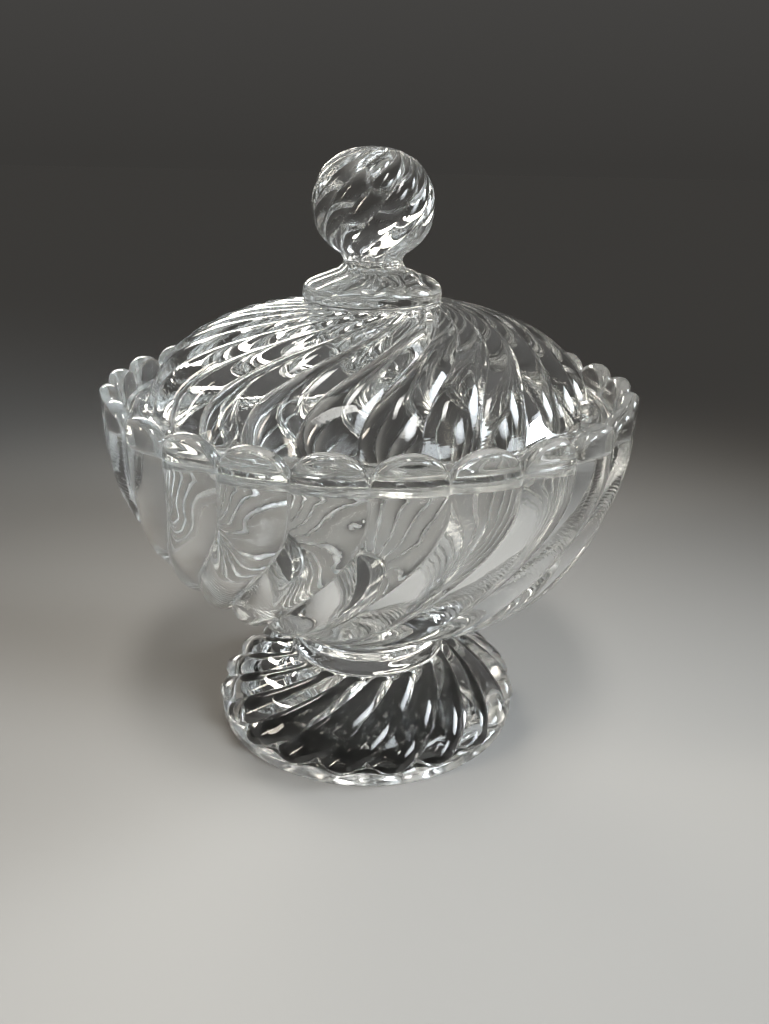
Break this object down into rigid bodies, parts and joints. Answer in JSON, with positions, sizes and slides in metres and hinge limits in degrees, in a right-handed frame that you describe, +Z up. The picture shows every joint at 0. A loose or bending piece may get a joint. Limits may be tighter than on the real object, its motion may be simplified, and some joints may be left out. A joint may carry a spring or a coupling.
{
  "type": "covered candy dish",
  "caption": "Covered footed candy dish in clear pressed glass, with a swirl-lobed bowl, a scalloped rim, and a domed lid with a ball finial that lifts off.",
  "frame": {"origin": "on the axis, in the plane that the foot stands on", "axes": "+Z up along the axis of the dish, +X to the right and +Y away when it is seen from the front"},
  "size_m": [0.149, 0.148, 0.1675],
  "materials": {
    "clear_glass": "fire-polished pressed glass, clear and colourless"
  },
  "bodies": {
    "base": {"foot": "clear_glass", "stem_ring": "clear_glass", "bowl": "clear_glass"},
    "lid": {"lid_dome": "clear_glass", "finial": "clear_glass"}
  },
  "joints": [
    {"name": "lid_lift", "type": "slide", "parent": "base", "child": "lid", "axis": [0, 0, 1], "range_m": [0, 0.09]}
  ]
}
